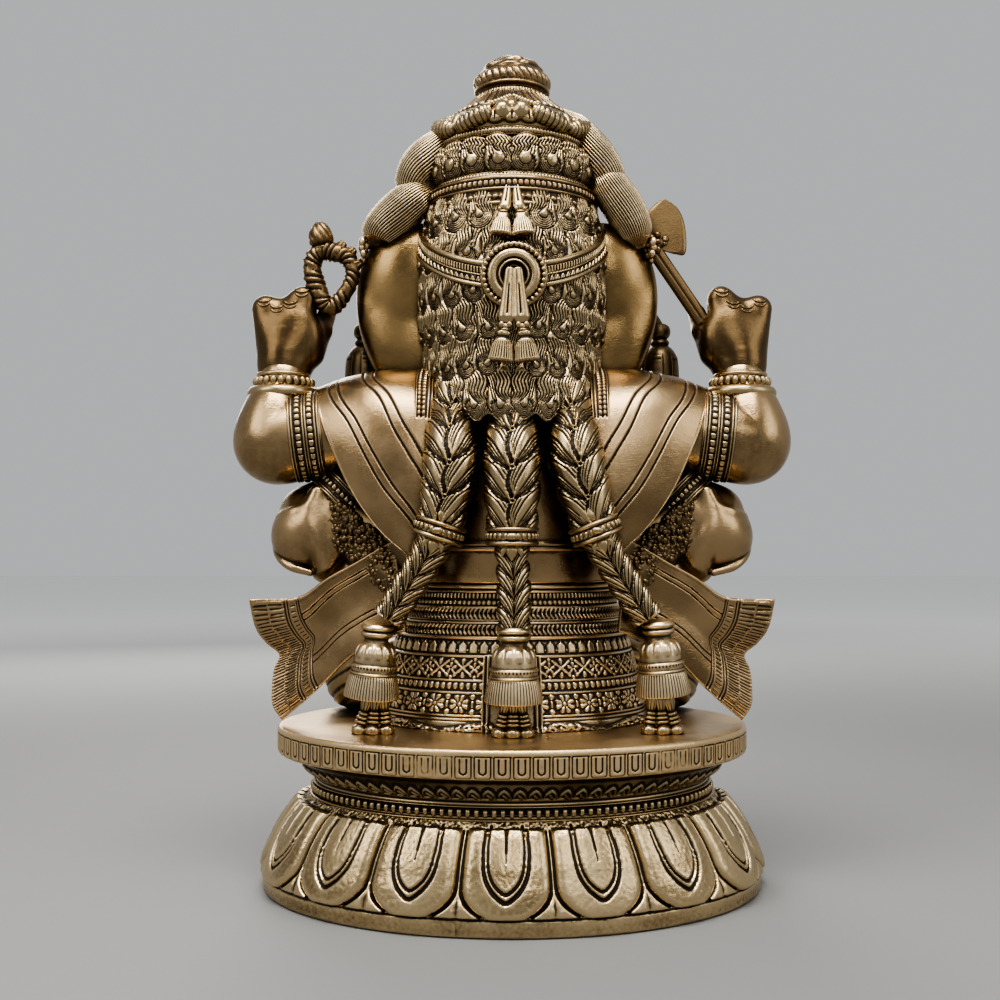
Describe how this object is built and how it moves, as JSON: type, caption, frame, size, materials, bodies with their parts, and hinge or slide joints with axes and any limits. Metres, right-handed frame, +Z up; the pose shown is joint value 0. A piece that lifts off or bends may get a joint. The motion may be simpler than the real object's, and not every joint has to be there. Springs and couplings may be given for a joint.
{
  "type": "ganesha idol",
  "caption": "Seated elephant-headed brass idol with raised rear hands holding noose and axe, braided hair and flying sashes, brazed to an oval lotus pedestal.",
  "frame": {"origin": "on the ground under the middle of the lotus pedestal", "axes": "+Z up, the figure faces -Y, +X towards the figure's own left"},
  "size_m": [0.3022, 0.2074, 0.457],
  "materials": {
    "polished_brass": "satin, rubbed bright on the high places",
    "aged_brass": "satin with a brown patina in the engraving",
    "antique_brass": "dark antique patina with bright ridges"
  },
  "bodies": {
    "root": {"lotus_base": "polished_brass", "pearl_ring": "polished_brass", "leaf_band": "antique_brass", "plinth_plate": "polished_brass", "waist_wrap": "antique_brass", "waist_belt": "aged_brass", "torso": "aged_brass", "belly_front": "polished_brass", "left_leg": "aged_brass", "right_leg": "aged_brass", "dhoti_pleats": "antique_brass", "anklets": "antique_brass", "left_rear_arm": "polished_brass", "right_rear_arm": "polished_brass", "left_rear_hand": "polished_brass", "right_rear_hand": "polished_brass", "left_front_arm": "aged_brass", "right_front_arm": "aged_brass", "left_front_hand": "aged_brass", "right_front_hand": "aged_brass", "rear_armlets": "antique_brass", "front_armlets": "antique_brass", "rear_bracelets": "aged_brass", "front_bracelets": "aged_brass", "left_shawl": "polished_brass", "right_shawl": "polished_brass", "left_sash": "aged_brass", "right_sash": "aged_brass", "necklace": "antique_brass", "sacred_thread": "antique_brass", "head": "polished_brass", "trunk": "polished_brass", "left_tusk": "polished_brass", "right_tusk": "polished_brass", "left_ear": "polished_brass", "right_ear": "polished_brass", "left_ear_pendant": "antique_brass", "right_ear_pendant": "antique_brass", "left_hair_tuft": "antique_brass", "right_hair_tuft": "antique_brass", "crown_lower_ring": "aged_brass", "crown_lower_tier": "aged_brass", "crown_upper_ring": "aged_brass", "crown_upper_tier": "aged_brass", "crown_finial": "polished_brass", "crown_crest": "aged_brass", "hair_mantle": "antique_brass", "hair_band": "aged_brass", "hair_brooch": "polished_brass", "crown_tassels": "polished_brass", "left_braid": "antique_brass", "centre_braid": "antique_brass", "right_braid": "antique_brass", "braid_ties": "polished_brass", "braid_tassels": "aged_brass", "tassel_feet": "antique_brass", "noose": "aged_brass", "axe_handle": "aged_brass", "axe_blade": "antique_brass", "modak": "polished_brass"}
  },
  "joints": []
}
